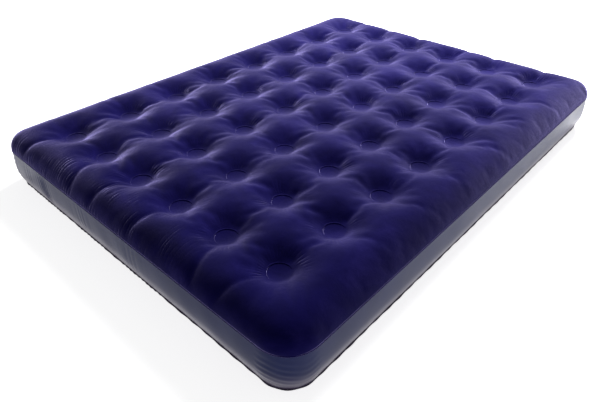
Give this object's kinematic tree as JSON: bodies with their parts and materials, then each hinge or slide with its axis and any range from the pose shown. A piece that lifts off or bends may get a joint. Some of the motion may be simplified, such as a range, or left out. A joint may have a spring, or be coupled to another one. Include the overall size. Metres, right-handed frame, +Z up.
{
  "type": "air mattress",
  "caption": "Rectangular coil-beam air mattress with a flocked, dimpled top, smooth side wall, internal coils and a screw-in valve with a one-way flap and hinged cap.",
  "frame": {"origin": "centre of the underside, on the surface the mattress lies on", "axes": "+X across the width, +Y along the length towards the valve end, +Z up"},
  "size_m": [1.52, 2.0453, 0.22],
  "materials": {
    "flocked_top": "velvet flock",
    "wall_film": "satin PVC",
    "base_film": "matt embossed PVC",
    "coil_film": "matt PVC",
    "valve_soft": "soft moulded PVC",
    "valve_rigid": "moulded plastic",
    "valve_seal": "silicone"
  },
  "bodies": {
    "mattress": {"top_sheet": "flocked_top", "side_wall": "wall_film", "bottom_sheet": "base_film", "coil_1_1": "coil_film", "coil_1_2": "coil_film", "coil_1_3": "coil_film", "coil_1_4": "coil_film", "coil_1_5": "coil_film", "coil_1_6": "coil_film", "coil_1_7": "coil_film", "coil_1_8": "coil_film", "coil_2_1": "coil_film", "coil_2_2": "coil_film", "coil_2_3": "coil_film", "coil_2_4": "coil_film", "coil_2_5": "coil_film", "coil_2_6": "coil_film", "coil_2_7": "coil_film", "coil_2_8": "coil_film", "coil_3_1": "coil_film", "coil_3_2": "coil_film", "coil_3_3": "coil_film", "coil_3_4": "coil_film", "coil_3_5": "coil_film", "coil_3_6": "coil_film", "coil_3_7": "coil_film", "coil_3_8": "coil_film", "coil_4_1": "coil_film", "coil_4_2": "coil_film", "coil_4_3": "coil_film", "coil_4_4": "coil_film", "coil_4_5": "coil_film", "coil_4_6": "coil_film", "coil_4_7": "coil_film", "coil_4_8": "coil_film", "coil_5_1": "coil_film", "coil_5_2": "coil_film", "coil_5_3": "coil_film", "coil_5_4": "coil_film", "coil_5_5": "coil_film", "coil_5_6": "coil_film", "coil_5_7": "coil_film", "coil_5_8": "coil_film", "coil_6_1": "coil_film", "coil_6_2": "coil_film", "coil_6_3": "coil_film", "coil_6_4": "coil_film", "coil_6_5": "coil_film", "coil_6_6": "coil_film", "coil_6_7": "coil_film", "coil_6_8": "coil_film", "valve_base": "valve_soft"},
    "strap": {"cap_strap": "valve_soft"},
    "insert": {"valve_insert": "valve_rigid", "valve_washer": "valve_seal"},
    "cap": {"valve_cap": "valve_rigid"},
    "flap": {"check_flap": "valve_seal"}
  },
  "joints": [
    {"name": "insert_travel", "type": "slide", "parent": "mattress", "child": "strap", "axis": [0, 1, 0], "range_m": [0, 0.008]},
    {"name": "insert_turn", "type": "hinge", "parent": "strap", "child": "insert", "pos_m": [-0.48, 1.0135, 0.098], "axis": [0, 1, 0], "range_deg": [0, 720]},
    {"name": "cap_hinge", "type": "hinge", "parent": "strap", "child": "cap", "pos_m": [-0.4605, 1.02455, 0.098], "axis": [0, 0, -1], "range_deg": [0, 130]},
    {"name": "flap_swing", "type": "hinge", "parent": "insert", "child": "flap", "pos_m": [-0.467, 1.0072, 0.098], "axis": [0, 0, 1], "range_deg": [0, 60]}
  ],
  "couplings": [
    {"joint": "insert_travel", "follows": "insert_turn", "m_per_rad": 0.0006366}
  ]
}
